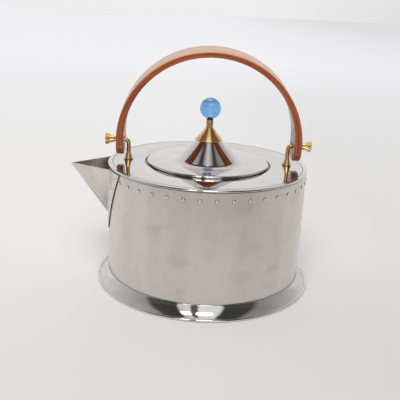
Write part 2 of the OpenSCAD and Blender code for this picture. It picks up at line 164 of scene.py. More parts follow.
def rivetSteel():
    material, tree, output = newMaterial("stainlessSteelRivets")
    place = addNode(tree, "ShaderNodeTexCoord")
    flat = addNode(tree, "ShaderNodeVectorMath", {0: (place, "Object"), 1: (1.0, 1.0, 0.0)},
                   operation="MULTIPLY")
    out = addNode(tree, "ShaderNodeVectorMath", {0: (flat, 0)}, operation="LENGTH")
    # painted shade: dark round the foot of each head, up to the dome's colour by domeR
    clean = addNode(tree, "ShaderNodeMapRange", {"Value": (out, "Value"), "From Min": rivet["footR"] * mm,
                    "From Max": rivet["domeR"] * mm})
    colour = addNode(tree, "ShaderNodeValToRGB", {"Fac": (clean, 0)},
                     [(0.0, rivet["foot"]), (1.0, rivet["dome"])])
    rough = addNode(tree, "ShaderNodeMapRange", {"Value": (clean, 0), "To Min": rivet["rough"][0],
                    "To Max": rivet["rough"][1]})
    shader = addNode(tree, "ShaderNodeBsdfPrincipled", {"Base Color": (colour, "Color"), "Metallic": 1.0,
                     "Roughness": (rough, 0)})
    tree.links.new(shader.outputs[0], output.inputs["Surface"])
    return material


# Brass rod and bar, turned and buffed: warm gold, darker and coppery where it reflects the room,
# with a faint dulling where fingers reach
brass = {"bright": "#f0cf96", "dulled": "#c99f66", "grime": "#3d2c18", "rough": (0.22, 0.34), "dullSize": 5,
         "turning": 0.5, "turnRun": 16.67, "turnDepth": 0.03}


def buffedBrass():
    material, tree, output = newMaterial("brassTurnedBuffed")
    place = addNode(tree, "ShaderNodeTexCoord")
    dulling = addNode(tree, "ShaderNodeTexNoise", {"Vector": (place, "Object"),
                      "Scale": 1000 / brass["dullSize"], "Detail": 4.0})
    buffed = addNode(tree, "ShaderNodeValToRGB", {"Fac": (dulling, "Fac")},
                     [(0.40, brass["bright"]), (0.75, brass["dulled"])])
    grime = addNode(tree, "ShaderNodeAttribute", attribute_name="grime")
    # painted shade, dark where a face is marked for it
    colour = addNode(tree, "ShaderNodeMix", {0: (grime, "Fac"), 6: (buffed, "Color"),
                     7: toLinear(brass["grime"])}, data_type="RGBA")
    rough = addNode(tree, "ShaderNodeMapRange", {"Value": (dulling, "Fac"), "From Min": 0.35, "From Max": 0.7,
                    "To Min": brass["rough"][0], "To Max": brass["rough"][1]})
    turned = addNode(tree, "ShaderNodeMapping", {"Vector": (place, "Object"),
                     "Scale": (1000 / brass["turnRun"], 1000 / brass["turnRun"], 1000 / brass["turning"])})
    rings = addNode(tree, "ShaderNodeTexNoise", {"Vector": (turned, 0), "Scale": 1.0, "Detail": 1.0})
    surface = addNode(tree, "ShaderNodeBump", {"Height": (rings, "Fac"), "Strength": 0.10,
                      "Distance": brass["turnDepth"] * mm})
    shader = addNode(tree, "ShaderNodeBsdfPrincipled", {"Base Color": (colour, 2), "Metallic": 1.0,
                     "Roughness": (rough, 0), "Normal": (surface, "Normal")})
    tree.links.new(shader.outputs[0], output.inputs["Surface"])
    return material


# Steam-bent hardwood, stained red-brown and varnished: fine dark pores and streaks that run along
# the bend, under a clear gloss that goes pale at a low angle. The outside of the bend is painted
# paler as a painted sheen, most at the top.
wood = {"light": "#bb6630", "mid": "#97491f", "dark": "#5e2a10", "endGrain": "#ab7c58", "worn": "#c9a184",
        "streak": 0.9, "pore": 0.35, "poreDepth": 0.05, "length": 60, "rough": 0.45, "sheen": 0.15, "coat": 0.7,
        "gloss": 0.2}


def varnishedWood():
    material, tree, output = newMaterial("hardwoodBentVarnished")
    place = addNode(tree, "ShaderNodeAttribute", attribute_name="grainPlace")
    long = addNode(tree, "ShaderNodeMapping", {"Vector": (place, "Vector"),
                   "Scale": (1000 / wood["length"], 1000 / (2.2 * wood["streak"]), 1000 / wood["streak"])})
    streaks = addNode(tree, "ShaderNodeTexNoise", {"Vector": (long, 0), "Scale": 1.0, "Detail": 4.0,
                      "Roughness": 0.6, "Distortion": 0.3})
    fine = addNode(tree, "ShaderNodeMapping", {"Vector": (place, "Vector"),
                   "Scale": (4000 / wood["length"], 1000 / wood["pore"], 1000 / wood["pore"])})
    pores = addNode(tree, "ShaderNodeTexNoise", {"Vector": (fine, 0), "Scale": 1.0, "Detail": 2.0})
    body = addNode(tree, "ShaderNodeValToRGB", {"Fac": (streaks, "Fac")},
                   [(0.30, wood["dark"]), (0.48, wood["mid"]), (0.68, wood["light"])])
    poreAmount = addNode(tree, "ShaderNodeValToRGB", {"Fac": (pores, "Fac")}, [(0.62, 0.0), (0.75, 0.6)])
    colour = addNode(tree, "ShaderNodeMix", {0: (poreAmount, "Color"), 6: (body, "Color"),
                     7: toLinear(wood["dark"])}, data_type="RGBA")
    endAmount = addNode(tree, "ShaderNodeAttribute", attribute_name="endGrain")
    mottled = addNode(tree, "ShaderNodeMix", {0: (endAmount, "Fac"), 6: (colour, 2),
                      7: toLinear(wood["endGrain"])}, data_type="RGBA")
    # painted sheen: paler on the outside of the bend, where a point is marked for it
    sheenAmount = addNode(tree, "ShaderNodeAttribute", attribute_name="worn")
    faded = addNode(tree, "ShaderNodeMix", {0: (sheenAmount, "Fac"), 6: (mottled, 2),
                    7: toLinear(wood["worn"])}, data_type="RGBA")
    surface = addNode(tree, "ShaderNodeBump", {"Height": (pores, "Fac"), "Strength": 0.15,
                      "Distance": wood["poreDepth"] * mm})
    shader = addNode(tree, "ShaderNodeBsdfPrincipled", {"Base Color": (faded, 2), "Roughness": wood["rough"],
                     "Specular IOR Level": wood["sheen"], "Coat Weight": wood["coat"],
                     "Coat Roughness": wood["gloss"], "Normal": (surface, "Normal")})
    tree.links.new(shader.outputs[0], output.inputs["Surface"])
    return material


# Soda-lime glass, pressed and fire polished, tinted light blue all through: clear and bright, with
# small sharp lights
glass = {"tint": "#7fb6ec", "ior": 1.5, "rippleSize": 6, "rippleDepth": 0.1}


def blueGlass():
    material, tree, output = newMaterial("glassPressedBlue")
    place = addNode(tree, "ShaderNodeTexCoord")
    ripple = addNode(tree, "ShaderNodeTexNoise", {"Vector": (place, "Object"),
                     "Scale": 1000 / glass["rippleSize"], "Detail": 0.0})
    surface = addNode(tree, "ShaderNodeBump", {"Height": (ripple, "Fac"), "Strength": 0.10,
                      "Distance": glass["rippleDepth"] * mm})
    shader = addNode(tree, "ShaderNodeBsdfPrincipled", {"Base Color": toLinear(glass["tint"]), "Roughness": 0.0,
                     "IOR": glass["ior"], "Transmission Weight": 1.0, "Normal": (surface, "Normal")})
    tree.links.new(shader.outputs[0], output.inputs["Surface"])
    return material


# Nitrile rubber washer, moulded: near black, slightly brown, with a dull even face
rubber = {"dark": "#2f2a26", "bloom": "#4a423b", "bloomSize": 1.5, "rough": 0.55}


def mouldedRubber():
    material, tree, output = newMaterial("rubberMoulded")
    place = addNode(tree, "ShaderNodeTexCoord")
    bloom = addNode(tree, "ShaderNodeTexNoise", {"Vector": (place, "Object"),
                    "Scale": 1000 / rubber["bloomSize"], "Detail": 3.0})
    colour = addNode(tree, "ShaderNodeValToRGB", {"Fac": (bloom, "Fac")},
                     [(0.35, rubber["dark"]), (0.75, rubber["bloom"])])
    shader = addNode(tree, "ShaderNodeBsdfPrincipled", {"Base Color": (colour, "Color"),
                     "Roughness": rubber["rough"]})
    tree.links.new(shader.outputs[0], output.inputs["Surface"])
    return material


# Stainless strip as it left the mill, for what stays out of sight: grey, dull, lightly scratched
mill = {"dark": "#a8a4a0", "light": "#bdbab6", "rough": (0.3, 0.5), "scratchWidth": 1.111,
        "scratchRun": 16.67, "scratchDepth": 0.05}


def plainSteel():
    material, tree, output = newMaterial("stainlessSteelMillFinish")
    place = addNode(tree, "ShaderNodeTexCoord")
    across = 1000 / mill["scratchWidth"]
    scratch = addNode(tree, "ShaderNodeMapping", {"Vector": (place, "Object"),
                      "Scale": (across, 1000 / mill["scratchRun"], across)})
    lines = addNode(tree, "ShaderNodeTexNoise", {"Vector": (scratch, 0), "Scale": 1.0, "Detail": 3.0})
    colour = addNode(tree, "ShaderNodeValToRGB", {"Fac": (lines, "Fac")},
                     [(0.35, mill["dark"]), (0.7, mill["light"])])
    rough = addNode(tree, "ShaderNodeMapRange", {"Value": (lines, "Fac"), "To Min": mill["rough"][0],
                    "To Max": mill["rough"][1]})
    surface = addNode(tree, "ShaderNodeBump", {"Height": (lines, "Fac"), "Strength": 0.15,
                      "Distance": mill["scratchDepth"] * mm})
    shader = addNode(tree, "ShaderNodeBsdfPrincipled", {"Base Color": (colour, "Color"), "Metallic": 1.0,
                     "Roughness": (rough, 0), "Normal": (surface, "Normal")})
    tree.links.new(shader.outputs[0], output.inputs["Surface"])
    return material


finishes = {"satin_steel": satinSteel(), "polished_steel": mirrorSteel(), "rivet_steel": rivetSteel(),
            "plain_steel": plainSteel(), "polished_brass": buffedBrass(), "bent_wood": varnishedWood(),
            "blue_glass": blueGlass(), "seat_rubber": mouldedRubber()}
print("materials made:", len(finishes))


def drawProfile(path):
    # A closed outline in the XZ plane, in mm. A corner is (radius, height) or (radius, height, round),
    # and an arc from the last corner is (centre radius, centre height, degrees, steps).
    bm = bmesh.new()
    last = first = None
    corners = []
    for item in path:
        if len(item) == 4:
            made = bmesh.ops.spin(bm, geom=[last], cent=(item[0], 0, item[1]), axis=(0, -1, 0),
                                  angle=math.radians(item[2]), steps=item[3])
            last = [v for v in made["geom_last"] if isinstance(v, bmesh.types.BMVert)][0]
            continue
        point = bm.verts.new((item[0], 0, item[1]))
        if last:
            bm.edges.new((last, point))
        first = first or point
        last = point
        if len(item) == 3:
            corners.append((point, item[2]))
    bm.edges.new((last, first))
    for point, size in corners:
        bmesh.ops.bevel(bm, geom=[point], affect="VERTICES", offset=size, segments=4, profile=0.5, material=-1)
    return bm


def turn(path, steps):
    # The outline turned about Z into a closed solid
    bm = drawProfile(path)
    bmesh.ops.spin(bm, geom=bm.verts[:] + bm.edges[:], cent=(0, 0, 0), axis=(0, 0, 1),
                   angle=2 * math.pi, steps=steps, use_merge=True)
    return closeUp(bm)


def closeUp(bm, distance=0.002):
    bmesh.ops.remove_doubles(bm, verts=bm.verts[:], dist=distance)
    bmesh.ops.dissolve_degenerate(bm, edges=bm.edges[:], dist=distance / 10)
    bmesh.ops.recalc_face_normals(bm, faces=bm.faces[:])
    return bm


def vertsOf(edges):
    # Each vertex once, in the order of the edges
    return list(dict.fromkeys(v for e in edges for v in e.verts))


def addPiece(name, bm, body, slot, replaced, smoothAngle=30):
    # bm is in mm; the piece ends in metres, with its place in the mesh
    bmesh.ops.scale(bm, vec=(mm, mm, mm), verts=bm.verts[:])
    mesh = bpy.data.meshes.new(name)
    bm.to_mesh(mesh)
    bm.free()
    piece = bpy.data.objects.new(name, mesh)
    bpy.context.scene.collection.objects.link(piece)
    mesh.materials.append(finishes[slot])
    mesh.shade_smooth()
    mesh.set_sharp_from_angle(angle=math.radians(smoothAngle))
    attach(piece, body)
    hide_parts(*replaced)
    return piece


def paintShadeAndGrime(piece, amount):
    # Painted shade, with some dirt, in seams, gaps and recesses: amount(radius, height, face) gives 0 to 1 for
    # a face, in mm
    values = piece.data.attributes.new("grime", "FLOAT", "FACE").data
    for face, value in zip(piece.data.polygons, values):
        x, y, z = face.center
        value.value = amount(math.hypot(x, y) / mm, z / mm, face)


skirt = {"wallR": 90.0, "sheet": 0.8, "topZ": 11.3, "flatZ": 2.0, "underZ": 1.4, "beadR": 1.35, "beadC": 98.95,
         "bendR": 93.4, "bendZ": 5.8, "bend": 4.0, "lip": 0.25, "lipRound": 0.3, "backIn": 0.6, "backUp": 0.5,
         "backRound": 1.0, "seamShade": 0.85, "steps": 256, "beadSteps": 40}


def makeSkirt():
    s = skirt
    outer = s["wallR"] + s["sheet"]
    bead = math.degrees(math.asin((s["flatZ"] - s["beadR"]) / s["beadR"]))
    meetR = s["beadC"] - s["beadR"] * math.cos(math.radians(bead))
    under = math.degrees(math.asin((s["underZ"] - s["beadR"]) / s["beadR"]))
    path = [(s["wallR"], s["topZ"]), (s["wallR"] + s["lip"], s["topZ"]), (outer, s["topZ"], s["lipRound"]),
            (s["bendR"], s["bendZ"], s["bend"]), (meetR, s["flatZ"]),
            (s["beadC"], s["beadR"], -(360 - 2 * bead + (bead - under)), s["beadSteps"]),
            (s["bendR"] - s["backIn"], s["underZ"] + s["backUp"], s["backRound"]),
            (s["wallR"], s["bendZ"], s["backRound"])]
    piece = addPiece("baseSkirt", turn(path, s["steps"]), "kettle", "polished_steel", ["base_skirt"])
    # painted shade along the joint where the wall meets the skirt
    seamR = s["wallR"] + s["lip"] - 0.05
    paintShadeAndGrime(piece, lambda r, z, face: s["seamShade"] if z > s["topZ"] - 0.01 and r < seamR else 0.0)


deck = {"topZ": 110.7, "sheet": 0.8, "openingR": 57.5, "ledgeZ": 109.1, "ledgeR": 50.4, "collarZ": 103.1,
        "beadR": 1.2, "beadC": 89.4, "flangeR": 89.15, "flangeZ": 96.7, "grooveR": 86.4, "groove": 0.34,
        "ledgeRound": 0.35, "seatRound": 0.3, "edgeRound": 0.45, "seatShade": 0.9, "rimShade": 0.85,
        "grooveShade": 0.8, "steps": 256, "beadSteps": 24}


def makeDeck():
    d = deck
    under = d["topZ"] - d["sheet"]
    path = [(d["ledgeR"], d["collarZ"]), (d["ledgeR"], d["ledgeZ"], d["ledgeRound"]),
            (d["openingR"], d["ledgeZ"], d["seatRound"]), (d["openingR"], d["topZ"], d["edgeRound"]),
            (d["grooveR"] - d["groove"], d["topZ"]),
            (d["grooveR"], d["topZ"] - d["groove"]), (d["grooveR"] + d["groove"], d["topZ"]),
            (d["beadC"], d["topZ"]),
            (d["beadC"], d["topZ"] - d["beadR"], -180, d["beadSteps"]),
            (d["flangeR"], d["topZ"] - 2 * d["beadR"]), (d["flangeR"], d["flangeZ"]),
            (d["flangeR"] - d["sheet"], d["flangeZ"]), (d["flangeR"] - d["sheet"], under),
            (d["openingR"] + d["sheet"], under), (d["openingR"] + d["sheet"], d["ledgeZ"] - d["sheet"]),
            (d["ledgeR"] + d["sheet"], d["ledgeZ"] - d["sheet"]), (d["ledgeR"] + d["sheet"], d["collarZ"])]
    piece = addPiece("topDeck", turn(path, d["steps"]), "kettle", "polished_steel", ["deck"])

    def shadeAmount(r, z, face):
        # painted shade in the lid's seat, under the rolled rim and in the groove, each to a little short of its
        # edge
        depth = d["topZ"] - z
        if r < d["openingR"] + 0.2 and depth > 0.3:
            return d["seatShade"]
        if r > d["flangeR"] - 0.15 and depth > d["beadR"] + 0.25:
            return d["rimShade"]
        return d["grooveShade"] if abs(r - d["grooveR"]) < d["groove"] and 0.05 < depth < 0.4 else 0.0

    paintShadeAndGrime(piece, shadeAmount)


makeSkirt()
makeDeck()
print("skirt and deck made")


spout = {"edgeRound": 0.12, "flatAngle": 0.5, "foldAngle": 40, "flangeR": (89.5, 90.85),
         "sideways": 0.45, "edgeDirt": 1.0}


def makeSpout():
    # a merged copy of the CAD node's plates and flange, with every fold and edge rounded
    bm = bmesh.new()
    bm.from_mesh(nodes["spout"].data)
    bmesh.ops.scale(bm, vec=(1000, 1000, 1000), verts=bm.verts[:])
    bmesh.ops.remove_doubles(bm, verts=bm.verts[:], dist=0.002)
    bmesh.ops.dissolve_limit(bm, angle_limit=math.radians(spout["flatAngle"]), verts=bm.verts[:],
                             edges=bm.edges[:])
    sharp = [e for e in bm.edges if e.is_manifold and e.calc_face_angle(0) > math.radians(spout["foldAngle"])
             and e.calc_length() > 3 * spout["edgeRound"]]
    bmesh.ops.bevel(bm, geom=sharp, affect="EDGES", offset=spout["edgeRound"], segments=2, profile=0.5,
                    material=-1, clamp_overlap=True)
    piece = addPiece("spoutFolded", closeUp(bm), "kettle", "satin_steel", ["spout"], 35)

    def shadeAmount(r, z, face):
        # painted shade on the cut edge of the flange, which faces along the wall: the shadow of the gap under
        # it
        outward = Vector((face.center.x, face.center.y, 0)).normalized()
        inner, outer = spout["flangeR"]
        cut = abs(face.normal.dot(outward)) < spout["sideways"] and inner < r < outer
        return spout["edgeDirt"] if cut else 0.0

    paintShadeAndGrime(piece, shadeAmount)


makeSpout()
print("spout made")


bracket = {"x": 72.6, "rodR": 1.9, "bendR": 3.6, "tailZ": 102.1, "pegZ": 128.9, "strapOut": 82.85,
           "threadR": 1.5, "endX": 91.1, "sides": 32, "bendSteps": 20}
foot = {"r": 4.2, "rim": 0.6, "topR": 2.2, "h": 6.2, "boreR": 1.95, "waist": 0.9, "edge": 0.12, "rimEdge": 0.2,
        "seamShade": 0.8, "steps": 64}


def makeBracket(name, side):
    b = bracket
    bm = bmesh.new()
    bmesh.ops.create_circle(bm, cap_ends=False, radius=b["rodR"], segments=b["sides"],
                            matrix=Matrix.Translation((b["x"], 0, b["tailZ"])))
    ring = bm.edges[:]

    def pull(edges, vector):
        grown = bmesh.ops.extrude_edge_only(bm, edges=edges)
        verts = [v for v in grown["geom"] if isinstance(v, bmesh.types.BMVert)]
        bmesh.ops.translate(bm, vec=vector, verts=verts)
        return [e for e in grown["geom"]
                if isinstance(e, bmesh.types.BMEdge) and all(v in verts for v in e.verts)]

    bendZ = b["pegZ"] - b["bendR"]
    ring = pull(ring, (0, 0, bendZ - b["tailZ"]))
    bent = bmesh.ops.spin(bm, geom=ring + vertsOf(ring),
                          cent=(b["x"] + b["bendR"], 0, bendZ), axis=(0, 1, 0),
                          angle=math.radians(90), steps=b["bendSteps"])
    ring = [e for e in bent["geom_last"] if isinstance(e, bmesh.types.BMEdge)]
    ring = pull(ring, (b["strapOut"] - b["x"] - b["bendR"], 0, 0))
    stepped = pull(ring, (0, 0, 0))
    thinner = b["threadR"] / b["rodR"]
    bmesh.ops.scale(bm, vec=(1, thinner, thinner), space=Matrix.Translation((0, 0, -b["pegZ"])),
                    verts=vertsOf(stepped))
    pull(stepped, (b["endX"] - b["strapOut"], 0, 0))
    bmesh.ops.holes_fill(bm, edges=bm.edges[:], sides=b["sides"])
    if side < 0:
        bmesh.ops.rotate(bm, cent=(0, 0, 0), matrix=Matrix.Rotation(math.pi, 3, "Z"), verts=bm.verts[:])
    addPiece(name, closeUp(bm), "kettle", "polished_brass",
             ["bracket_right" if side > 0 else "bracket_left"], 40)


def makeFoot(name, side):
    z = deck["topZ"]
    path = [(foot["boreR"], z), (foot["r"], z, foot["edge"]), (foot["r"], z + foot["rim"], foot["rimEdge"]),
            (foot["topR"] + foot["waist"], z + foot["h"] * 0.5), (foot["topR"], z + foot["h"], foot["edge"]),
            (foot["boreR"], z + foot["h"])]
    bm = turn(path, foot["steps"])
    bmesh.ops.translate(bm, vec=(side * bracket["x"], 0, 0), verts=bm.verts[:])
    piece = addPiece(name, bm, "kettle", "polished_brass", ["foot_right" if side > 0 else "foot_left"])
    # painted shade round the foot's base, where it sits on the deck
    paintShadeAndGrime(piece, lambda r, height, face: foot["seamShade"] if height < z + foot["rim"] - 0.1 else 0.0)


for side, word in ((-1, "Left"), (1, "Right")):
    makeBracket("bracketRod" + word, side)
    makeFoot("bracketFoot" + word, side)
print("brackets made")


bow = {"outR": 82.85, "rise": 1.6, "sideT": 6.4, "topT": 4.6, "width": 30.0, "endR": 12.5, "lean": 6.8,
       "edge": 0.7, "boreR": 1.95, "boreX": 79.65, "archSteps": 96, "endSteps": 20, "edgeSteps": 3,
       "rimAngle": 50, "endGrain": 0.7, "sheenSides": 0.35, "sheenTop": 0.5}


def cutBore(piece, radius, x, z):
    # A bore along X, cut with a cylinder that is taken away again
    bm = bmesh.new()
    bmesh.ops.create_cone(bm, cap_ends=True, segments=32, radius1=radius, radius2=radius, depth=20,
                          matrix=Matrix.Translation((x, 0, z)) @ Matrix.Rotation(math.pi / 2, 4, "Y"))
    bmesh.ops.scale(bm, vec=(mm, mm, mm), verts=bm.verts[:])
    mesh = bpy.data.meshes.new("cutter")
    bm.to_mesh(mesh)
    bm.free()
    cutter = bpy.data.objects.new("cutter", mesh)
    bpy.context.scene.collection.objects.link(cutter)
    modifier = piece.modifiers.new("bore", "BOOLEAN")
    modifier.object = cutter
    modifier.solver = "EXACT"
    applyModifiers(piece)
    bpy.data.objects.remove(cutter)
    bpy.data.meshes.remove(mesh)


def applyModifiers(piece):
    done = bpy.data.meshes.new_from_object(piece.evaluated_get(bpy.context.evaluated_depsgraph_get()))
    old = piece.data
    piece.modifiers.clear()
    piece.data = done
    name = old.name
    bpy.data.meshes.remove(old)
    done.name = name


def makeHandle():
    h = bow
    inR = h["outR"] - h["sideT"]
    pegZ = bracket["pegZ"]
    bm = bmesh.new()
    made = bmesh.ops.create_grid(bm, x_segments=1, y_segments=1, size=0.5,
                                 matrix=Matrix.Translation(((inR + h["outR"]) / 2, 0, h["rise"]))
                                 @ Matrix.Diagonal((h["sideT"], h["width"], 1, 1)))
    section = bm.faces[:]
    # the arch
    bmesh.ops.spin(bm, geom=bm.edges[:] + made["verts"], cent=(0, 0, h["rise"]), axis=(0, -1, 0), angle=math.pi,
                   steps=h["archSteps"])
    bmesh.ops.delete(bm, geom=section, context="FACES_ONLY")
    # the inside is raised towards the top, where the strap is thinner
    for v in bm.verts:
        out = math.hypot(v.co.x, v.co.z - h["rise"])
        upward = (v.co.z - h["rise"]) / out
        thinner = (h["sideT"] - h["topT"]) * upward * (h["outR"] - out) / h["sideT"]
        v.co.x += thinner * v.co.x / out
        v.co.z += thinner * upward
    # a leg straight down from each foot of the arch, its corners rounded a hair less than the solid's
    ends = [e for e in bm.edges if e.is_boundary]
    grown = bmesh.ops.extrude_edge_only(bm, edges=ends)
    tips = [v for v in grown["geom"] if isinstance(v, bmesh.types.BMVert)]
    bmesh.ops.translate(bm, vec=(0, 0, -h["rise"] - h["endR"]), verts=tips)
    bmesh.ops.holes_fill(bm, edges=bm.edges[:], sides=4)
    bmesh.ops.recalc_face_normals(bm, faces=bm.faces[:])
    corners = [e for e in bm.edges if all(v in tips for v in e.verts)
               and abs(e.verts[0].co.y - e.verts[1].co.y) < 0.01]
    bmesh.ops.bevel(bm, geom=corners, affect="EDGES", offset=h["endR"] - 0.02, segments=h["endSteps"],
                    profile=0.5, material=-1, clamp_overlap=True)
    bmesh.ops.remove_doubles(bm, verts=bm.verts[:], dist=0.05)
    rims = [e for e in bm.edges if e.is_manifold and e.calc_face_angle(0) > math.radians(h["rimAngle"])]
    bmesh.ops.bevel(bm, geom=rims, affect="EDGES", offset=h["edge"], segments=h["edgeSteps"], profile=0.5,
                    material=-1, clamp_overlap=True)
    bmesh.ops.translate(bm, vec=(0, 0, pegZ), verts=bm.verts[:])
    piece = addPiece("handleBow", closeUp(bm), "handle", "bent_wood", ["handle_bow"], 40)
    for sign in (-1, 1):
        cutBore(piece, h["boreR"], sign * h["boreX"], pegZ)
    # where each point lies along, across and through the strap, for the grain
    for name, kind in (("grainPlace", "FLOAT_VECTOR"), ("endGrain", "FLOAT"), ("worn", "FLOAT")):
        piece.data.attributes.new(name, kind, "POINT")
    grain = piece.data.attributes["grainPlace"].data
    ending = piece.data.attributes["endGrain"].data
    worn = piece.data.attributes["worn"].data
    centre = (pegZ + h["rise"]) * mm
    for i, v in enumerate(piece.data.vertices):
        height = v.co.z - centre
        out = math.hypot(v.co.x, height) if height > 0 else abs(v.co.x)
        swept = math.atan2(height, abs(v.co.x)) if height > 0 else height / (h["outR"] * mm)
        along = math.copysign(math.pi / 2 - swept, v.co.x) * h["outR"] * mm
        grain[i].vector = (along, v.co.y, out)
        below = max(0.0, (centre - h["rise"] * mm - v.co.z) / (h["endR"] * mm))
        ending[i].value = h["endGrain"] * min(1.0, below) ** 1.5
        # painted sheen: the outside of the bend is painted paler, most of all at the top, where light falls
        # from above
        if out > (h["outR"] - 0.2) * mm:
            worn[i].value = h["sheenSides"] + h["sheenTop"] * max(0.0, math.sin(swept))
    peg = Matrix.Translation((0, 0, pegZ * mm))
    piece.data.transform(peg @ Matrix.Rotation(math.radians(h["lean"]), 4, "X") @ peg.inverted())


makeHandle()
print("handle made")


nut = {"x": 83.1, "length": 10.4, "endR": 5.3, "collarR": 2.5, "neckR": 2.1, "collar": 1.1, "rim": 0.8,
       "boreR": 1.55, "bell": [(0.35, 0.42), (0.7, 0.68)], "flutes": 6, "fluteDepth": 0.40,
       "fluteRun": 0.45, "fluteShape": 1.5, "lip": 1.1, "lipDrop": 0.15, "lipEdge": 0.2, "dish": 1.3,
       "dishEdge": 2.2, "dishFloor": 0.4, "edge": 0.15, "rimEdge": 0.3,
       "steps": 96}


def makeNut(name, side):
    n = nut
    flare = n["endR"] - n["neckR"]
    dishZ = n["length"] - n["dish"]
    path = [(n["boreR"], 0.0), (n["collarR"], 0.0, n["edge"]), (n["collarR"], n["collar"] - 0.2, n["edge"]),
            (n["neckR"], n["collar"])]
    path += [(n["neckR"] + out * flare, n["length"] * up) for out, up in n["bell"]]
    path += [(n["endR"], n["length"] - n["rim"], n["rimEdge"]), (n["endR"] - 0.1, n["length"], n["rimEdge"]),
             (n["endR"] - n["lip"], n["length"] - n["lipDrop"], n["lipEdge"]),
             (n["endR"] - n["dishEdge"], dishZ), (0.0, dishZ),
             (0.0, dishZ - n["dishFloor"]), (n["boreR"], dishZ - n["dishFloor"])]
    bm = turn(path, n["steps"])
    # the flutes deepen from the collar to the wide end
    for v in bm.verts:
        out = math.hypot(v.co.x, v.co.y)
        if out < n["boreR"] + 0.15 or v.co.z < n["collar"]:
            continue
        share = min(1.0, (v.co.z - n["collar"]) / (n["fluteRun"] * n["length"]))
        wave = 0.5 - 0.5 * math.cos(n["flutes"] * math.atan2(v.co.y, v.co.x))
        factor = 1 - n["fluteDepth"] * share * wave ** n["fluteShape"]
        v.co.x *= factor
        v.co.y *= factor
    bmesh.ops.transform(bm, verts=bm.verts[:], matrix=Matrix.Translation((side * n["x"], 0, bracket["pegZ"]))
                        @ Matrix.Rotation(side * math.pi / 2, 4, "Y"))
    word = "right" if side > 0 else "left"
    addPiece(name, closeUp(bm), "nut_" + word, "polished_brass", ["thumb_nut_" + word], 40)


makeNut("thumbNutLeft", -1)
makeNut("thumbNutRight", 1)
print("thumb nuts made")


lid = {"r": 55.4, "topZ": 112.4, "rimZ": 109.25, "sheet": 0.8, "coneFootR": 30.6, "coneTopR": 12.0,
       "coneTopZ": 131.7, "fillet": 8.0, "edgeRound": 1.1, "rimShade": 0.15, "steps": 256,
       "filletSteps": 12}
knob = {"boreR": 1.55, "baseR": 12.3, "baseRim": 0.5, "neckR": 3.2, "neckZ": 142.9, "seatZ": 150.0,
        "seatT": 1.0, "ballR": 9.5, "ballC": 160.29, "ballFlatR": 2.0, "studZ": 154.8,
        "edge": 0.15, "footEdge": 0.12, "neckEdge": 0.2, "coneOver": 0.2, "seatR": (3.1, 2.8),
        "seatEdge": 0.1, "neckDarkening": (0.3, 0.1), "steps": 128, "neckSteps": 64, "ballSteps": 64}


def makeLid():
    slope = math.atan2(lid["coneTopZ"] - lid["topZ"], lid["coneFootR"] - lid["coneTopR"])
    tangent = lid["fillet"] * math.tan(slope / 2)
    startR = lid["coneFootR"] + tangent
    endR = lid["coneFootR"] - tangent * math.cos(slope)
    endZ = lid["topZ"] + tangent * math.sin(slope)
    under = lid["sheet"]
    path = [(knob["boreR"], lid["coneTopZ"]), (lid["coneTopR"], lid["coneTopZ"]), (endR, endZ),
            (startR, lid["topZ"] + lid["fillet"], math.degrees(slope), lid["filletSteps"]),
            (lid["r"], lid["topZ"], lid["edgeRound"]), (lid["r"], lid["rimZ"]), (lid["r"] - under, lid["rimZ"]),
            (lid["r"] - under, lid["topZ"] - under), (startR, lid["topZ"] - under),
            (startR, lid["topZ"] + lid["fillet"] - under, -math.degrees(slope), lid["filletSteps"]),
            (lid["coneTopR"], lid["coneTopZ"] - under), (knob["boreR"], lid["coneTopZ"] - under)]
    piece = addPiece("lidShell", turn(path, lid["steps"]), "lid", "polished_steel", ["lid_shell"])
    rimZ = lid["topZ"] - lid["edgeRound"]
    # painted shade on the rim's outer face, down in the gap round the lid
    paintShadeAndGrime(piece, lambda r, z, face: lid["rimShade"] if r > lid["r"] - 0.05 and z < rimZ else 0.0)


def makeKnob():
    k = knob
    top = lid["coneTopZ"]
    path = [(k["boreR"], top), (k["baseR"], top, k["footEdge"]),
            (k["baseR"], top + k["baseRim"], k["edge"]),
            (k["neckR"] + k["coneOver"], k["neckZ"]), (k["boreR"], k["neckZ"])]
    addPiece("knobCone", turn(path, k["steps"]), "lid", "polished_brass", ["knob_cone"])
    path = [(k["boreR"], k["neckZ"]), (k["neckR"], k["neckZ"], k["edge"]),
            (k["neckR"], k["seatZ"], k["neckEdge"]), (k["boreR"], k["seatZ"])]
    neck = addPiece("knobNeck", turn(path, k["neckSteps"]), "lid", "polished_brass", ["knob_neck"])
    # the neck painted darker, less so in its top half millimetre
    paintShadeAndGrime(neck, lambda r, z, face: k["neckDarkening"][0 if z < k["seatZ"] - 0.5 else 1])
    flatZ = k["seatZ"] + k["seatT"]
    lower, upper = k["seatR"]
    path = [(k["boreR"], k["seatZ"]), (lower, k["seatZ"], k["seatEdge"]), (upper, flatZ, k["seatEdge"]),
            (k["boreR"], flatZ)]
    addPiece("ballSeat", turn(path, k["neckSteps"]), "lid", "seat_rubber", ["ball_seat"])
    start = math.degrees(math.acos(k["ballFlatR"] / k["ballR"]))
    path = [(k["boreR"], flatZ), (k["ballFlatR"], flatZ), (0.0, k["ballC"], start + 90, k["ballSteps"]),
            (0.0, k["studZ"]), (k["boreR"], k["studZ"])]
    addPiece("glassBall", turn(path, k["steps"]), "lid", "blue_glass", ["glass_ball"])


makeLid()
makeKnob()
print("lid and knob made")


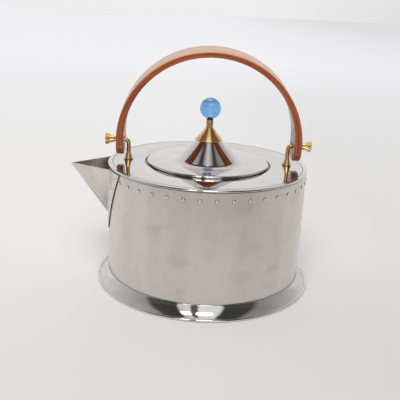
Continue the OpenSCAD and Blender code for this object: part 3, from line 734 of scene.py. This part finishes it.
# CAD nodes that stay as they are, by finish
kept = {"satin_steel": ["body_wall"], "polished_steel": ["base_pan"],
        "rivet_steel": ["rim_rivets", "spout_rivets"],
        "plain_steel": ["deck_washers", "lid_spigot", "knob_washer", "knob_nut"],
        "polished_brass": ["deck_nuts", "knob_stud"]}
for slot, names in kept.items():
    for name in names:
        for entry in nodes[name].material_slots:
            entry.material = finishes[slot]
print("CAD nodes finished")


floorFinish = {"front": "#bcb9b7", "edge": "#d7d5d4", "near": "#dfdedc", "farLeft": "#f0eff2",
               "farRight": "#dfdee1", "shaded": "#f0f0f0", "size": 12.0, "acrossX": (0.4, 2.2),
               "awayY": (-0.15, 2.2), "asideX": (0.0, 0.22), "towardY": (-0.45, 0.05)}


def makeFloor():
    # A roll of matte paper, a little darker in front, with painted light that makes it paler far off and
    # on the left, and painted shade that darkens it a little on the right
    bm = bmesh.new()
    bmesh.ops.create_grid(bm, x_segments=4, y_segments=4, size=floorFinish["size"])
    mesh = bpy.data.meshes.new("floor")
    bm.to_mesh(mesh)
    bm.free()
    floor = bpy.data.objects.new("floor", mesh)
    bpy.context.scene.collection.objects.link(floor)
    material, tree, output = newMaterial("paperMatte")
    place = addNode(tree, "ShaderNodeTexCoord")
    parts = addNode(tree, "ShaderNodeSeparateXYZ", {0: (place, "Object")})

    def share(axis, span):
        return addNode(tree, "ShaderNodeMapRange", {"Value": (parts, axis), "From Min": span[0],
                       "From Max": span[1]})

    across = share("X", floorFinish["acrossX"])
    away = share("Y", floorFinish["awayY"])
    toward = share("Y", floorFinish["towardY"])
    aside = share("X", floorFinish["asideX"])
    far = addNode(tree, "ShaderNodeMix", {0: (across, 0), 6: toLinear(floorFinish["farLeft"]),
                  7: toLinear(floorFinish["farRight"])}, data_type="RGBA")
    near = addNode(tree, "ShaderNodeValToRGB", {"Fac": (toward, 0)},
                   [(0.0, floorFinish["front"]), (0.5, floorFinish["edge"]), (1.0, floorFinish["near"])])
    shaded = addNode(tree, "ShaderNodeMix", {0: (aside, 0), 6: (near, "Color"),
                     7: toLinear(floorFinish["shaded"])}, data_type="RGBA", blend_type="MULTIPLY")
    colour = addNode(tree, "ShaderNodeMix", {0: (away, 0), 6: (shaded, 2), 7: (far, 2)}, data_type="RGBA")
    shader = addNode(tree, "ShaderNodeBsdfPrincipled", {"Base Color": (colour, 2), "Roughness": 0.95,
                     "Specular IOR Level": 0.1})
    tree.links.new(shader.outputs[0], output.inputs["Surface"])
    mesh.materials.append(material)


# The room as the metal sees it: its brightness at degrees round from the camera's side towards +X, in
# four bands from the horizon to overhead, and the heights between which each band blends into the
# next (0 is the horizon and 1 straight up). It is pale behind and at the sides, and dark in front but
# for two bright panels with a dark post between them. Overhead, a grey strip lies in front.
room = {"middleFrom": (0.0, 0.06), "highFrom": (0.40, 0.55), "topFrom": (0.90, 0.94),
        "low": [(-180, 0.86), (-90, 0.84), (-60, 0.5), (-30, 0.25), (30, 0.25), (60, 0.5), (90, 0.76),
                (160, 0.74), (168, 0.81), (174, 0.86), (180, 0.86)],
        "middle": [(-180, 0.86), (-140, 0.82), (-118, 0.70), (-95, 0.55), (-70, 0.40), (-62, 0.10), (-30, 0.08),
                   (-28, 0.82), (-15, 0.90), (-13, 0.12), (-6, 0.10), (-4, 0.92), (22, 0.88), (26, 0.07),
                   (58, 0.08), (68, 0.30), (95, 0.42), (118, 0.55), (140, 0.78), (180, 0.86)],
        "high": [(-180, 0.80), (-140, 0.76), (-118, 0.66), (-95, 0.50), (-70, 0.36), (-61, 0.07), (-30, 0.05),
                 (-28, 0.60), (-15, 0.85), (-13, 0.12), (-6, 0.10), (-4, 0.95), (22, 0.90), (26, 0.05),
                 (58, 0.06), (68, 0.26), (95, 0.36), (118, 0.48), (140, 0.70), (180, 0.80)],
        "top": [(-180, 0.85), (-125, 0.75), (-104, 0.40), (-94, 0.05), (-48, 0.06), (-28, 0.46), (-10, 0.72),
                (10, 0.66), (28, 0.42), (48, 0.06), (92, 0.05), (104, 0.35), (125, 0.7), (180, 0.85)]}


def makeRoom():
    world = bpy.data.worlds.new("studio")
    bpy.context.scene.world = world
    world.use_nodes = True
    tree = world.node_tree
    tree.nodes.clear()
    place = addNode(tree, "ShaderNodeTexCoord")
    parts = addNode(tree, "ShaderNodeSeparateXYZ", {0: (place, "Generated")})
    back = addNode(tree, "ShaderNodeMath", {0: (parts, "Y"), 1: -1.0}, operation="MULTIPLY")
    azimuth = addNode(tree, "ShaderNodeMath", {0: (parts, "X"), 1: (back, 0)}, operation="ARCTAN2")
    share = addNode(tree, "ShaderNodeMapRange", {"Value": (azimuth, 0), "From Min": -math.pi,
                    "From Max": math.pi})
    bands = {name: addNode(tree, "ShaderNodeValToRGB", {"Fac": (share, 0)},
                           [((degrees + 180) / 360, value) for degrees, value in room[name]])
             for name in ("low", "middle", "high", "top")}
    sky = (bands["low"], "Color")
    for name in ("middle", "high", "top"):
        start, end = room[name + "From"]
        height = addNode(tree, "ShaderNodeMapRange", {"Value": (parts, "Z"), "From Min": start,
                         "From Max": end})
        sky = (addNode(tree, "ShaderNodeMix", {0: (height, 0), 6: sky, 7: (bands[name], "Color")},
                       data_type="RGBA"), 2)
    background = addNode(tree, "ShaderNodeBackground", {"Color": sky, "Strength": 1.0})
    output = tree.nodes.new("ShaderNodeOutputWorld")
    tree.links.new(background.outputs[0], output.inputs["Surface"])


# Two panels in front, and an even light that keeps the whole floor pale and doesn't show in the metal.
# Azimuth counts from the camera's side towards +X; sizes and distances are in metres.
lights = {"aimZ": 0.1,
          "frontLeft": {"size": (0.45, 0.5), "azimuth": -21, "elevation": 49, "distance": 3.2, "watts": 6},
          "frontRight": {"size": (0.75, 0.5), "azimuth": 3, "elevation": 49, "distance": 3.2, "watts": 10},
          "fill": {"azimuth": -4, "elevation": 52, "distance": 1.0, "spread": 50, "strength": 1.9}}


def onFront(settings):
    a, e = math.radians(settings["azimuth"]), math.radians(settings["elevation"])
    distance = settings["distance"]
    return Vector((distance * math.sin(a) * math.cos(e), -distance * math.cos(a) * math.cos(e),
                   lights["aimZ"] + distance * math.sin(e)))


def addPanel(name):
    settings = lights[name]
    light = bpy.data.lights.new(name, "AREA")
    light.shape = "RECTANGLE"
    light.size, light.size_y = settings["size"]
    light.energy = settings["watts"]
    lamp = bpy.data.objects.new(name, light)
    bpy.context.scene.collection.objects.link(lamp)
    lamp.location = onFront(settings)
    lamp.rotation_euler = (Vector((0, 0, lights["aimZ"])) - lamp.location).to_track_quat("-Z", "Y").to_euler()


def addFill():
    settings = lights["fill"]
    light = bpy.data.lights.new("fill", "SUN")
    light.energy = settings["strength"]
    light.angle = math.radians(settings["spread"])
    lamp = bpy.data.objects.new("fill", light)
    bpy.context.scene.collection.objects.link(lamp)
    lamp.rotation_euler = (-onFront(settings)).to_track_quat("-Z", "Y").to_euler()
    lamp.visible_glossy = False


# The camera as fitted to the photograph: its place in metres and its own three directions
view = {"lens": 55.79, "sensor": 36, "place": (-0.0231375, -0.5530276, 0.2510223),
        "right": (0.99878975, -0.01716845, 0.04608983), "up": (-0.0386305, 0.30617329, 0.95119167),
        "back": (-0.03044196, -0.95182097, 0.30513952)}


def makeCamera():
    camera = bpy.data.cameras.new("camera")
    camera.lens = view["lens"]
    camera.sensor_width = view["sensor"]
    camera.sensor_fit = "HORIZONTAL"
    body = bpy.data.objects.new("camera", camera)
    bpy.context.scene.collection.objects.link(body)
    turned = Matrix((view["right"], view["up"], view["back"])).transposed().to_4x4()
    body.matrix_world = Matrix.Translation(view["place"]) @ turned
    bpy.context.scene.camera = body


makeFloor()
makeRoom()
addPanel("frontLeft")
addPanel("frontRight")
addFill()
makeCamera()
bpy.context.scene.view_settings.view_transform = "Standard"
bpy.context.scene.view_settings.look = "None"
print("room made")
